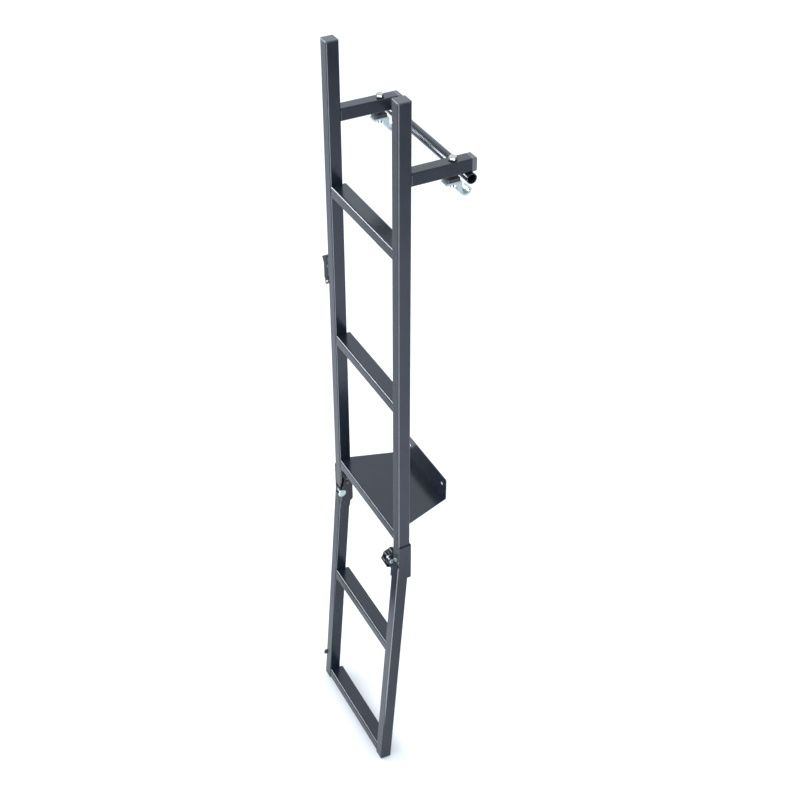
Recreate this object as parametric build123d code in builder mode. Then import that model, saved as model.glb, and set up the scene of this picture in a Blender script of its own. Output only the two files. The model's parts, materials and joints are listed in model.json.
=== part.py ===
"""Folding tailgate ladder in millimetres.

X runs across the ladder (+X to the climber's right), +Y points at the vehicle, +Z is up.
The origin is midway between the two screw holes, on the back face of the platform's mounting flange.
"""

import os
from math import cos, radians, sin

from build123d import *

# ---- driving dimensions ----
LADDER_WIDTH = 300.0
TUBE = 25.4
TUBE_WALL = 2.0
TUBE_CORNER = 2.4
REACH = 143.0  # from the flange's back face to the uprights' front faces

# ---- heights above the flange's screw holes ----
TOP_Z = 918.0
UPPER_TREAD_Z = 635.0
MIDDLE_TREAD_Z = 297.5
PLATFORM_Z = -28.5
UPRIGHT_END_Z = -109.0
ARM_TOP_Z = 786.5

# ---- places worked out from those ----
OUTER_X = LADDER_WIDTH / 2
INNER_X = OUTER_X - TUBE
MID_X = OUTER_X - TUBE / 2
FRONT_Y = -REACH
BACK_Y = FRONT_Y + TUBE
MID_Y = FRONT_Y + TUBE / 2
ARM_BOTTOM_Z = ARM_TOP_Z - TUBE

# ---- treads and platform ----
SHEET = 2.5
TREAD_DEPTH = 33.0
LIP = 21.5
NOSE_SETBACK = 0.3
NOSE_R = 4.0
PLATFORM_SHEET = 2.0
PLATFORM_NOSE_R = 3.2
PLATFORM_BACK_HALF = 88.0
FLANGE_TOP_Z = 21.2
FLANGE_HOLE_SPACING = 141.0
FLANGE_HOLE_R = 4.25

# ---- plastic end caps ----
CAP = 3.0
CAP_PLUG = 14.0
CAP_PLAY = 0.2
ARM_CAP = 9.5

# ---- arms, cross tube and gutter clamps ----
ARM_END_Y = 8.0
CROSS_R = 10.0
CROSS_WALL = 2.0
CROSS_HALF = 154.5
CROSS_Y = -4.0
CROSS_Z = ARM_BOTTOM_Z - CROSS_R
CLAMP_Y = -33.0
BOLT_R = 3.95
BOLT_HOLE_R = 4.05
BOLT_LENGTH = 53.0
BOLT_HEAD = 5.3
BOLT_FLATS = 13.0
WASHER = 1.6
WASHER_R = 8.0
NUT_BLOCK = 7.0
NUT_BLOCK_FRONT_Y = -46.6
NUT_BORE_R = 4.0
HOOK_SHEET = 4.0
HOOK_HALF = 10.3
HOOK_TOP_Z = 747.9
HOOK_FRONT_Y = -49.0
HOOK_DROP_Y = -22.5
HOOK_BEND_R = 7.5
HOOK_HOLE_R = 4.5
GUSSET = 2.5
GUSSET_RUN = 10.0
GUSSET_DROP = 17.5

# ---- fold hinge ----
PIVOT_Y = FRONT_Y - 2.0
PIVOT_Z = -113.0
LEAN = 4.37  # degrees that the lower section leans out at the bottom
PIN_R = 5.0
PIN_BORE_R = 5.05
PIN_HEAD_R = 8.8
PIN_HEAD = 2.8
PIN_HEAD_ROUND = 1.0
PIN_COLLAR_R = 5.8
PIN_COLLAR = 1.25
LOBE_R = 9.8
PLATE = 3.0
PLATE_X = 115.6
PLATE_TOP_Z = -69.0
PLATE_END_Z = -142.5
PLATE_LEAD = 2.5  # how far the plate stands in front of the upright beside the pivot
PLATE_WAIST_Z = -92.0
PLATE_WAIST_SET = 3.5  # how far its front edge has drawn back at the waist, and at the top
PLATE_TOP_SET = 9.0
SPACER_END_Z = -98.0
SPACER_DEPTH = 13.0
SIDE_PLAY = 0.3
SCREW_R = 3.0
SCREW_HEAD_R = 5.2
SCREW_HEAD = 2.8
SCREW_ZS = (-77.0, -88.0)
BRACKET = 2.5
BRACKET_TOP_Z = -57.0
BRACKET_END_Z = -146.0

# ---- lower section, measured from the pivot down the leaning uprights ----
LOWER_SET = 0.6  # the front faces lie this far behind the pivot
LOWER_START = 0.5
LOWER_TREAD_AT = 235.0
BOTTOM_TREAD_AT = 558.0
LOWER_END = 585.7
LOWER_OUTER_X = OUTER_X - SIDE_PLAY
LOWER_INNER_X = INNER_X - SIDE_PLAY
LOWER_MID_X = MID_X - SIDE_PLAY
EAR_X = PLATE_X + PLATE + SIDE_PLAY
EAR_END = 47.0
EAR_RIVET_R = 2.4
EAR_RIVETS = ((12.0, -27.0), (12.0, -39.0))

# ---- lock knob on the right hinge ----
LOCK_Y = -133.5
LOCK_Z = -125.0
LOCK_PIN_R = 4.0
LOCK_BORE_R = 4.05
LOCK_ROD_R = 3.0
KNOB_R = 22.0
KNOB_X = 93.0
KNOB_END_X = 110.0
KNOB_LOBES = 8
BARREL_R = 6.8
BARREL_X = 97.0
CHAMBER_R = 5.2
CHAMBER_X = 98.5
CHAMBER_END_X = 112.0

# ---- catch for the folded section, on the left upright ----
CATCH_SHEET = 2.2
CATCH_PIVOT_X = 155.5
CATCH_PIVOT_Z = 444.0
CATCH_PIN_R = 1.8
CATCH_LOBE_R = 3.6
CATCH_X = 159.6
CATCH_FRONT_Y = -147.0
CATCH_BACK_Y = -134.0
CATCH_TOP_Z = 462.0
CATCH_BEND_Z = 451.0
CATCH_FLARE = 7.0
CATCH_JOG_Z = 419.0
CATCH_FOOT_TOP_Z = 414.5
CATCH_FOOT_X = 155.6
CATCH_END_Z = 403.0
CATCH_BASE_Z = 443.0
CATCH_BASE_HEIGHT = 44.0
LUG = 2.0
LUG_FRONT_Y = -142.0
LUG_BACK_Y = -132.0
BLOCK_FRONT_Y = -136.6
BLOCK_BACK_Y = -134.3
BLOCK_R = 3.0
CATCH_RIVET_Z = 429.0
RIVET_R = 1.6
RIVET_HEAD_R = 3.2
RIVET_HEAD = 1.2
KEEPER_AT = 522.0
KEEPER_HEIGHT = 13.0
KEEPER_FRONT = -4.3
KEEPER_BACK = 13.0
KEEPER_PAD = 0.8
KEEPER_PAD_FRONT = 2.5
KEEPER_STUD_R = 1.8
KEEPER_STUD_DEPTH = -1.5
KEEPER_RIVET_DEPTH = 8.0
KEEPER_FACE_X = LOWER_OUTER_X + KEEPER_PAD + CATCH_SHEET
STUD_GAP = 0.4

SCREW_PLACES = tuple((MID_Y + 1, z) for z in SCREW_ZS)

os.makedirs("parts", exist_ok=True)

# The lower section's own frame: origin on the pivot, Z up along the leaning uprights, Y towards their backs.
LOWER = Plane(
    origin=(0, PIVOT_Y, PIVOT_Z),
    x_dir=(1, 0, 0),
    z_dir=(0, sin(radians(LEAN)), cos(radians(LEAN))),
)


def lower_side(x):
    """A plane square to X in the lower section's frame, at height x: its X is depth, its Y is up."""
    lean = radians(LEAN)
    return Plane(origin=(x, PIVOT_Y, PIVOT_Z), x_dir=(0, cos(lean), -sin(lean)), z_dir=(1, 0, 0))


def side_name(side):
    return "right" if side > 0 else "left"


def span_x(side, near, far):
    """The lower X end of a stretch between two distances from the middle, on one side of the ladder."""
    return near if side > 0 else -far


def save(part, name):
    part.label = name
    export_step(part, f"parts/{name}.step")


def tube_section(centre, outer=TUBE, wall=TUBE_WALL):
    """Add one square tube's section, with round corners, to the sketch in hand."""
    with Locations(centre):
        RectangleRounded(outer, outer, TUBE_CORNER)
        RectangleRounded(outer - 2 * wall, outer - 2 * wall, TUBE_CORNER - wall + 0.4, mode=Mode.SUBTRACT)


# ---------------------------------------------------------------- upper frame


def make_upper_upright(side):
    with BuildPart() as upright:
        with BuildSketch(Plane.XY.offset(UPRIGHT_END_Z)):
            tube_section((side * MID_X, MID_Y))
        extrude(amount=TOP_Z - CAP - UPRIGHT_END_Z)
        with BuildSketch(Plane.YZ.offset(span_x(side, INNER_X, INNER_X + TUBE_WALL))):
            with Locations(*SCREW_PLACES):
                Circle(SCREW_R)
        extrude(amount=TUBE_WALL, mode=Mode.SUBTRACT)
    save(upright.part, f"{side_name(side)}_upper_upright")


def make_tread(name, plane, half, front):
    """A folded-down channel between two uprights: plane is its top, front its nose in that plane's frame."""
    section = Plane(
        origin=plane.from_local_coords((-half, 0, 0)),
        x_dir=plane.y_dir,
        z_dir=plane.x_dir,
    )
    middle = front + TREAD_DEPTH / 2
    with BuildPart() as tread:
        with BuildSketch(section):
            with Locations((middle, -LIP / 2)):
                Rectangle(TREAD_DEPTH, LIP)
            with Locations((middle, -SHEET / 2 - LIP / 2)):
                Rectangle(TREAD_DEPTH - 2 * SHEET, LIP - SHEET, mode=Mode.SUBTRACT)
        extrude(amount=2 * half)
        top = tread.faces().sort_by(Axis(plane.origin, plane.z_dir))[-1]
        nose = top.edges().filter_by(Axis.X)
        fillet(nose, NOSE_R)
    save(tread.part, name)


def make_platform():
    front = FRONT_Y + NOSE_SETBACK
    with BuildPart() as platform:
        with BuildSketch(Plane.XY.offset(PLATFORM_Z - PLATFORM_SHEET)):
            with BuildLine():
                Polyline(
                    (-INNER_X, front),
                    (INNER_X, front),
                    (INNER_X, BACK_Y + 1),
                    (PLATFORM_BACK_HALF, -PLATFORM_SHEET),
                    (PLATFORM_BACK_HALF, 0),
                    (-PLATFORM_BACK_HALF, 0),
                    (-PLATFORM_BACK_HALF, -PLATFORM_SHEET),
                    (-INNER_X, BACK_Y + 1),
                    close=True,
                )
            make_face()
        extrude(amount=PLATFORM_SHEET)
        with BuildSketch(Plane.XY.offset(PLATFORM_Z - LIP)):
            with Locations((0, front + PLATFORM_SHEET / 2)):
                Rectangle(2 * INNER_X, PLATFORM_SHEET)
        extrude(amount=LIP)
        with BuildSketch(Plane.XY.offset(PLATFORM_Z)):
            with Locations((0, -PLATFORM_SHEET / 2)):
                Rectangle(2 * PLATFORM_BACK_HALF, PLATFORM_SHEET)
        extrude(amount=FLANGE_TOP_Z - PLATFORM_Z)
        nose = platform.edges().filter_by(Axis.X).group_by(Axis.Y)[0].sort_by(Axis.Z)[-1]
        heel = platform.edges().filter_by(Axis.X).group_by(Axis.Y)[-1].sort_by(Axis.Z)[0]
        fillet(nose, PLATFORM_NOSE_R)
        fillet(heel, PLATFORM_SHEET - 0.5)
        corners = platform.edges().filter_by(Axis.Y).group_by(Axis.Z)[-1]
        fillet(corners, 4)
        with BuildSketch(Plane.XZ):
            with GridLocations(FLANGE_HOLE_SPACING, 1, 2, 1):
                Circle(FLANGE_HOLE_R)
        extrude(amount=PLATFORM_SHEET, mode=Mode.SUBTRACT)
    save(platform.part, "platform_step")


def make_square_cap(name, plane, head, head_round=1.2):
    """A push-in cap: its head goes up from the plane, its hollow plug goes down inside the tube."""
    inside = TUBE - 2 * TUBE_WALL - 2 * CAP_PLAY
    with BuildPart() as cap:
        with BuildSketch(plane):
            RectangleRounded(TUBE, TUBE, TUBE_CORNER)
        extrude(amount=head)
        rim = cap.faces().sort_by(Axis(plane.origin, plane.z_dir))[-1]
        fillet(rim.edges(), head_round)
        with BuildSketch(plane):
            RectangleRounded(inside, inside, 1)
            RectangleRounded(inside - 4, inside - 4, 1, mode=Mode.SUBTRACT)
        extrude(amount=-CAP_PLUG)
    save(cap.part, name)


def make_arm(side):
    with BuildPart() as arm:
        with BuildSketch(Plane.XZ.offset(-BACK_Y)):
            tube_section((side * MID_X, ARM_TOP_Z - TUBE / 2))
        extrude(amount=-(ARM_END_Y - ARM_CAP - BACK_Y))
        with BuildSketch(Plane.XY.offset(ARM_BOTTOM_Z)):
            with Locations((side * MID_X, CLAMP_Y)):
                Circle(BOLT_HOLE_R)
        extrude(amount=TUBE, mode=Mode.SUBTRACT)
    save(arm.part, f"{side_name(side)}_arm")


def make_cross_tube():
    with BuildPart() as cross:
        with BuildSketch(Plane.YZ.offset(-CROSS_HALF)):
            with Locations((CROSS_Y, CROSS_Z)):
                Circle(CROSS_R)
                Circle(CROSS_R - CROSS_WALL, mode=Mode.SUBTRACT)
        extrude(amount=2 * CROSS_HALF)
    save(cross.part, "cross_tube")


# ---------------------------------------------------------------- gutter clamps


def make_clamp_washers():
    with BuildPart() as washers:
        with BuildSketch(Plane.XY.offset(ARM_TOP_Z)):
            with Locations((-MID_X, CLAMP_Y), (MID_X, CLAMP_Y)):
                Circle(WASHER_R)
                Circle(BOLT_HOLE_R, mode=Mode.SUBTRACT)
        extrude(amount=WASHER)
    save(washers.part, "clamp_washers")


def make_clamp_bolt(side):
    seat = ARM_TOP_Z + WASHER
    centre = (side * MID_X, CLAMP_Y)
    with BuildPart() as bolt:
        with BuildSketch(Plane.XY.offset(seat)):
            with Locations(centre):
                RegularPolygon(BOLT_FLATS / 2, 6, major_radius=False)
        extrude(amount=BOLT_HEAD)
        with BuildSketch(Plane.XY.offset(seat - BOLT_LENGTH)):
            with Locations(centre):
                Circle(BOLT_R)
        extrude(amount=BOLT_LENGTH)
        rim = bolt.faces().sort_by(Axis.Z)[-1]
        chamfer(rim.edges(), 0.7)
    save(bolt.part, f"{side_name(side)}_clamp_bolt")


def make_gutter_hook(side):
    """A strip bent down and round into a J, which grips a roof gutter's lip, with two side gussets."""
    low = side * MID_X - HOOK_HALF
    leg_z = HOOK_TOP_Z - HOOK_SHEET
    drop_y = HOOK_DROP_Y + HOOK_SHEET
    bend_z = leg_z - 15.0
    bend_y = drop_y + HOOK_BEND_R
    outer = HOOK_BEND_R + HOOK_SHEET
    with BuildPart() as hook:
        with BuildSketch(Plane.YZ.offset(low)):
            with BuildLine():
                Polyline(
                    (HOOK_DROP_Y, bend_z),
                    (HOOK_DROP_Y, leg_z),
                    (HOOK_FRONT_Y, leg_z),
                    (HOOK_FRONT_Y, HOOK_TOP_Z),
                    (drop_y, HOOK_TOP_Z),
                    (drop_y, bend_z),
                )
                RadiusArc((drop_y, bend_z), (bend_y + HOOK_BEND_R, bend_z), -HOOK_BEND_R)
                Line((bend_y + HOOK_BEND_R, bend_z), (bend_y + outer, bend_z))
                RadiusArc((bend_y + outer, bend_z), (HOOK_DROP_Y, bend_z), outer)
            make_face()
        extrude(amount=2 * HOOK_HALF)
        outside = hook.edges().filter_by(Axis.X).group_by(Axis.Z)[-1].sort_by(Axis.Y)[-1]
        fillet(outside, 3)
        with BuildSketch(Plane.XY.offset(leg_z)):
            with Locations((side * MID_X, CLAMP_Y)):
                Circle(HOOK_HOLE_R)
        extrude(amount=HOOK_SHEET, mode=Mode.SUBTRACT)
        for start in (low, low + 2 * HOOK_HALF - GUSSET):
            with BuildSketch(Plane.YZ.offset(start)):
                with BuildLine():
                    Polyline(
                        (HOOK_DROP_Y - GUSSET_RUN, leg_z),
                        (HOOK_DROP_Y, leg_z),
                        (HOOK_DROP_Y, leg_z - GUSSET_DROP),
                        close=True,
                    )
                make_face()
            extrude(amount=GUSSET)
    save(hook.part, f"{side_name(side)}_gutter_hook")


def make_nut_block(side):
    """The threaded block fixed on top of the hook's strip."""
    with BuildPart() as block:
        with BuildSketch(Plane.XY.offset(HOOK_TOP_Z)):
            with Locations((side * MID_X, (NUT_BLOCK_FRONT_Y + HOOK_DROP_Y) / 2)):
                RectangleRounded(2 * HOOK_HALF, HOOK_DROP_Y - NUT_BLOCK_FRONT_Y, 1.2)
            with Locations((side * MID_X, CLAMP_Y)):
                Circle(NUT_BORE_R, mode=Mode.SUBTRACT)
        extrude(amount=NUT_BLOCK)
    save(block.part, f"{side_name(side)}_nut_block")


# ---------------------------------------------------------------- fold hinge


def make_outer_bracket(side):
    """An angle welded round the outer back corner of an upright's end; the lower upright closes inside it."""
    height = BRACKET_TOP_Z - BRACKET_END_Z
    with BuildPart() as bracket:
        with BuildSketch(Plane.XY.offset(BRACKET_END_Z)):
            with Locations((side * (OUTER_X + BRACKET / 2), FRONT_Y + (TUBE + BRACKET) / 2)):
                Rectangle(BRACKET, TUBE + BRACKET)
            with Locations((side * (INNER_X + (TUBE + BRACKET) / 2), BACK_Y + BRACKET / 2)):
                Rectangle(TUBE + BRACKET, BRACKET)
        extrude(amount=height)
        back = bracket.edges().filter_by(Axis.X).group_by(Axis.Y)[-1]
        chamfer(back.sort_by(Axis.Z)[0], 2)
        corner = bracket.edges().filter_by(Axis.Z).sort_by(Axis.X)
        outer = corner[-2:] if side > 0 else corner[:2]
        fillet(outer.sort_by(Axis.Y)[-1], 2)
    save(bracket.part, f"{side_name(side)}_outer_bracket")


def make_hinge_plate(side):
    """The inner plate, welded to the upper upright through its spacer, with a lobe round the pivot."""
    edge_y = FRONT_Y - PLATE_LEAD
    back_y = BACK_Y - 1.4
    with BuildPart() as plate:
        with BuildSketch(Plane.YZ.offset(span_x(side, PLATE_X, PLATE_X + PLATE))) as outline:
            with BuildLine():
                Polyline(
                    (edge_y, PLATE_END_Z),
                    (edge_y, PIVOT_Z),
                    (FRONT_Y + PLATE_WAIST_SET, PLATE_WAIST_Z),
                    (FRONT_Y + PLATE_TOP_SET, PLATE_TOP_Z),
                    (back_y, PLATE_TOP_Z),
                    (back_y, PLATE_END_Z),
                    close=True,
                )
            make_face()
            fillet(outline.vertices().group_by(Axis.Z)[0], 7)
            with Locations((PIVOT_Y, PIVOT_Z)):
                Circle(LOBE_R)
                Circle(PIN_R, mode=Mode.SUBTRACT)
            with Locations(*SCREW_PLACES):
                Circle(SCREW_R, mode=Mode.SUBTRACT)
            if side > 0:
                with Locations((LOCK_Y, LOCK_Z)):
                    Circle(CHAMBER_R, mode=Mode.SUBTRACT)
        extrude(amount=PLATE)
    save(plate.part, f"{side_name(side)}_hinge_plate")


def make_hinge_spacer(side):
    height = PLATE_TOP_Z - SPACER_END_Z
    near = PLATE_X + PLATE
    with BuildPart() as spacer:
        with BuildSketch(Plane.YZ.offset(span_x(side, near, INNER_X))):
            with Locations((MID_Y + 1, SPACER_END_Z + height / 2 - 1)):
                Rectangle(SPACER_DEPTH, height - 2)
            with Locations(*SCREW_PLACES):
                Circle(SCREW_R, mode=Mode.SUBTRACT)
        extrude(amount=INNER_X - near)
    save(spacer.part, f"{side_name(side)}_hinge_spacer")


def make_hinge_screws():
    """Button-headed screws through each inner plate and its spacer into the upright's wall."""
    with BuildPart() as screws:
        for side in (-1, 1):
            steps = (
                (PLATE_X - SCREW_HEAD, PLATE_X, SCREW_HEAD_R),
                (PLATE_X, INNER_X + TUBE_WALL, SCREW_R),
                (INNER_X + TUBE_WALL, INNER_X + TUBE_WALL + 3, SCREW_R + 1.8),
            )
            for near, far, radius in steps:
                with BuildSketch(Plane.YZ.offset(span_x(side, near, far))):
                    with Locations(*SCREW_PLACES):
                        Circle(radius)
                extrude(amount=far - near)
            circles = screws.edges().filter_by(GeomType.CIRCLE)
            rims = circles.filter_by(lambda e: e.radius > SCREW_HEAD_R - 0.1)
            inner = rims.filter_by(lambda e: abs(e.center().X) < PLATE_X - SCREW_HEAD + 0.1)
            fillet(inner.filter_by(lambda e: e.center().X * side > 0), 1.6)
    save(screws.part, "hinge_screws")


def make_pivot_pin(side):
    """A headed pin whose far end is spread into a hollow collar."""
    collar_end = LOWER_INNER_X - 0.1
    steps = (
        (PLATE_X - PIN_HEAD, PLATE_X, PIN_HEAD_R),
        (PLATE_X, collar_end, PIN_R),
        (collar_end - PIN_COLLAR, collar_end, PIN_COLLAR_R),
    )
    with BuildPart() as pin:
        for near, far, radius in steps:
            with BuildSketch(Plane.YZ.offset(span_x(side, near, far))):
                with Locations((PIVOT_Y, PIVOT_Z)):
                    Circle(radius)
            extrude(amount=far - near)
        with BuildSketch(Plane.YZ.offset(span_x(side, collar_end - 2, collar_end))):
            with Locations((PIVOT_Y, PIVOT_Z)):
                Circle(PIN_R - 1.8)
        extrude(amount=2, mode=Mode.SUBTRACT)
        head = pin.edges().filter_by(GeomType.CIRCLE).sort_by(Axis.X)
        fillet(head[0] if side > 0 else head[-1], PIN_HEAD_ROUND)
    save(pin.part, f"{side_name(side)}_pivot_pin")


# ---------------------------------------------------------------- lock knob


def make_lock_barrel():
    with BuildPart() as barrel:
        with BuildSketch(Plane.YZ.offset(BARREL_X)):
            with Locations((LOCK_Y, LOCK_Z)):
                Circle(BARREL_R)
        extrude(amount=PLATE_X - BARREL_X)
        with BuildSketch(Plane.YZ.offset(PLATE_X)):
            with Locations((LOCK_Y, LOCK_Z)):
                Circle(CHAMBER_R)
        extrude(amount=PLATE)
        bores = (
            (BARREL_X, CHAMBER_X, LOCK_ROD_R + 0.05),
            (CHAMBER_X, CHAMBER_END_X, CHAMBER_R),
            (CHAMBER_END_X, PLATE_X + PLATE, LOCK_BORE_R),
        )
        for near, far, radius in bores:
            with BuildSketch(Plane.YZ.offset(near)):
                with Locations((LOCK_Y, LOCK_Z)):
                    Circle(radius)
            extrude(amount=far - near, mode=Mode.SUBTRACT)
    save(barrel.part, "lock_barrel")


def make_lock_pin():
    collar_x = CHAMBER_END_X - 2
    steps = (
        (KNOB_X + 1, collar_x, LOCK_ROD_R),
        (collar_x, CHAMBER_END_X, CHAMBER_R - 0.1),
        (CHAMBER_END_X, EAR_X - 0.35, LOCK_PIN_R),
    )
    with BuildPart() as pin:
        for near, far, radius in steps:
            with BuildSketch(Plane.YZ.offset(near)):
                with Locations((LOCK_Y, LOCK_Z)):
                    Circle(radius)
            extrude(amount=far - near)
        tip = pin.faces().sort_by(Axis.X)[-1]
        chamfer(tip.edges(), 0.8)
    save(pin.part, "lock_pin")


def make_lock_knob():
    """A lobed grip that hides the barrel in a deep recess."""
    web = BARREL_X - 0.4
    with BuildPart() as knob:
        with BuildSketch(Plane.YZ.offset(KNOB_X)) as grip:
            with Locations((LOCK_Y, LOCK_Z)):
                Circle(KNOB_R - 2)
                with PolarLocations(KNOB_R - 5, KNOB_LOBES):
                    Circle(5)
            fillet(grip.vertices(), 1.4)
        extrude(amount=KNOB_END_X - KNOB_X)
        fillet(knob.faces().sort_by(Axis.X)[0].edges(), 1.5)
        with BuildSketch(Plane.YZ.offset(web)):
            with Locations((LOCK_Y, LOCK_Z)):
                Circle(BARREL_R + 2.2)
        extrude(amount=KNOB_END_X - web, mode=Mode.SUBTRACT)
        with BuildSketch(Plane.YZ.offset(KNOB_X + 1)):
            with Locations((LOCK_Y, LOCK_Z)):
                Circle(LOCK_ROD_R)
        extrude(amount=web - KNOB_X - 1, mode=Mode.SUBTRACT)
    save(knob.part, "lock_knob")


def make_coil(name, start, direction, length, radius, wire, turns):
    """A compression spring as one round wire wound along the given direction."""
    with BuildPart() as spring:
        with BuildLine() as path:
            Helix(length / turns, length, radius, center=start, direction=direction)
        with BuildSketch(Plane(origin=path.line @ 0, z_dir=path.line % 0)):
            Circle(wire / 2)
        sweep(is_frenet=True)
    save(spring.part, name)


# ---------------------------------------------------------------- catch for the folded section


def make_catch_base():
    """A riveted plate with two lugs that carry the lever's pin."""
    with BuildPart() as base:
        with BuildSketch(Plane.YZ.offset(-OUTER_X - CATCH_SHEET)):
            with Locations((MID_Y, CATCH_BASE_Z)):
                RectangleRounded(TUBE - 1.6, CATCH_BASE_HEIGHT, 3)
            with Locations((MID_Y, CATCH_RIVET_Z)):
                Circle(RIVET_R, mode=Mode.SUBTRACT)
        extrude(amount=CATCH_SHEET)
        reach = CATCH_PIVOT_X - OUTER_X
        for y in (LUG_FRONT_Y, LUG_BACK_Y - LUG):
            with BuildSketch(Plane.XZ.offset(-y)):
                with Locations((-OUTER_X - reach / 2, CATCH_PIVOT_Z)):
                    Rectangle(reach, 2 * CATCH_LOBE_R)
                with Locations((-CATCH_PIVOT_X, CATCH_PIVOT_Z)):
                    Circle(CATCH_LOBE_R)
                    Circle(CATCH_PIN_R, mode=Mode.SUBTRACT)
            extrude(amount=-LUG)
    save(base.part, "catch_base")


def make_catch_pin():
    stand_out = 0.6
    with BuildPart() as pin:
        with BuildSketch(Plane.XZ.offset(-LUG_FRONT_Y + stand_out)):
            with Locations((-CATCH_PIVOT_X, CATCH_PIVOT_Z)):
                Circle(CATCH_PIN_R)
        extrude(amount=-(LUG_BACK_Y - LUG_FRONT_Y + 2 * stand_out))
    save(pin.part, "catch_pivot_pin")


def make_rivet(name, plane, centre, length):
    """A rivet set flush into the plane, with a low domed head standing off it."""
    with BuildPart() as rivet:
        with BuildSketch(plane):
            with Locations(centre):
                Circle(RIVET_R)
        extrude(amount=length)
        with BuildSketch(plane):
            with Locations(centre):
                Circle(RIVET_HEAD_R)
        extrude(amount=-RIVET_HEAD, taper=20)
    save(rivet.part, name)


def make_catch_lever():
    """A leaf on a pivot block: its flared top is pressed in, its holed foot lets go of the keeper's stud."""
    inside = (
        (-CATCH_FOOT_X, CATCH_END_Z),
        (-CATCH_FOOT_X, CATCH_FOOT_TOP_Z),
        (-CATCH_X, CATCH_JOG_Z),
        (-CATCH_X, CATCH_BEND_Z),
        (-CATCH_X - CATCH_FLARE, CATCH_TOP_Z),
    )
    outside = tuple((x - CATCH_SHEET, z) for x, z in reversed(inside))
    with BuildPart() as lever:
        with BuildSketch(Plane.XZ.offset(-CATCH_FRONT_Y)):
            with BuildLine():
                Polyline(*inside, *outside, close=True)
            make_face()
        extrude(amount=-(CATCH_BACK_Y - CATCH_FRONT_Y))
        foot = lever.edges().filter_by(Axis.X).group_by(Axis.Z)[0]
        fillet(foot, 4)
        with BuildSketch(Plane.XZ.offset(-BLOCK_FRONT_Y)):
            with Locations((-(CATCH_X + CATCH_PIVOT_X) / 2, CATCH_PIVOT_Z)):
                Rectangle(CATCH_X - CATCH_PIVOT_X, 2 * BLOCK_R)
            with Locations((-CATCH_PIVOT_X, CATCH_PIVOT_Z)):
                Circle(BLOCK_R)
                Circle(CATCH_PIN_R + 0.05, mode=Mode.SUBTRACT)
        extrude(amount=-(BLOCK_BACK_Y - BLOCK_FRONT_Y))
        with BuildSketch(Plane.YZ.offset(-CATCH_FOOT_X - CATCH_SHEET)):
            with Locations((PIVOT_Y - KEEPER_STUD_DEPTH, PIVOT_Z + KEEPER_AT)):
                Circle(KEEPER_STUD_R + 0.5)
        extrude(amount=CATCH_SHEET, mode=Mode.SUBTRACT)
    save(lever.part, "catch_lever")


# ---------------------------------------------------------------- folding lower section


def make_lower_upright(side):
    with BuildPart() as upright:
        with BuildSketch(LOWER.offset(-LOWER_END + CAP)):
            tube_section((side * LOWER_MID_X, LOWER_SET + TUBE / 2))
        extrude(amount=LOWER_END - CAP - LOWER_START)
        with BuildSketch(lower_side(span_x(side, LOWER_INNER_X, LOWER_INNER_X + TUBE_WALL))):
            with Locations(*EAR_RIVETS):
                Circle(EAR_RIVET_R)
        extrude(amount=TUBE_WALL, mode=Mode.SUBTRACT)
    save(upright.part, f"{side_name(side)}_lower_upright")


def make_hinge_ear(side):
    """The lower upright's half of the hinge: a plate on its inner face, its lobe bored for the pin."""
    near, far = EAR_X, LOWER_INNER_X
    front, back = LOWER_SET + 1, LOWER_SET + TUBE - 2
    with BuildPart() as ear:
        with BuildSketch(lower_side(span_x(side, near, far))) as outline:
            with BuildLine():
                Polyline((front, -EAR_END), (front, -1), (back, -6), (back, -EAR_END), close=True)
            make_face()
            fillet(outline.vertices().group_by(Axis.Z)[0], 5)
            Circle(LOBE_R)
            Circle(PIN_BORE_R, mode=Mode.SUBTRACT)
            with Locations(*EAR_RIVETS):
                Circle(EAR_RIVET_R, mode=Mode.SUBTRACT)
        extrude(amount=far - near)
        pocket_x = far - 0.1 - PIN_COLLAR - 0.1
        with BuildSketch(lower_side(span_x(side, pocket_x, far))):
            Circle(PIN_COLLAR_R + 0.05)
        extrude(amount=far - pocket_x, mode=Mode.SUBTRACT)
        if side > 0:
            with BuildSketch(Plane.YZ.offset(near)):
                with Locations((LOCK_Y, LOCK_Z)):
                    Circle(LOCK_BORE_R + 0.1)
            extrude(amount=far - near, mode=Mode.SUBTRACT)
    save(ear.part, f"{side_name(side)}_hinge_ear")


def make_ear_rivets():
    """Flush rivets that hold the ears to the lower uprights, with their set heads inside the tubes."""
    with BuildPart() as rivets:
        for side in (-1, 1):
            steps = (
                (EAR_X, LOWER_INNER_X + TUBE_WALL, EAR_RIVET_R),
                (LOWER_INNER_X + TUBE_WALL, LOWER_INNER_X + TUBE_WALL + 1.5, EAR_RIVET_R + 1.6),
            )
            for near, far, radius in steps:
                with BuildSketch(lower_side(span_x(side, near, far))):
                    with Locations(*EAR_RIVETS):
                        Circle(radius)
                extrude(amount=far - near)
    save(rivets.part, "ear_rivets")


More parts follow.
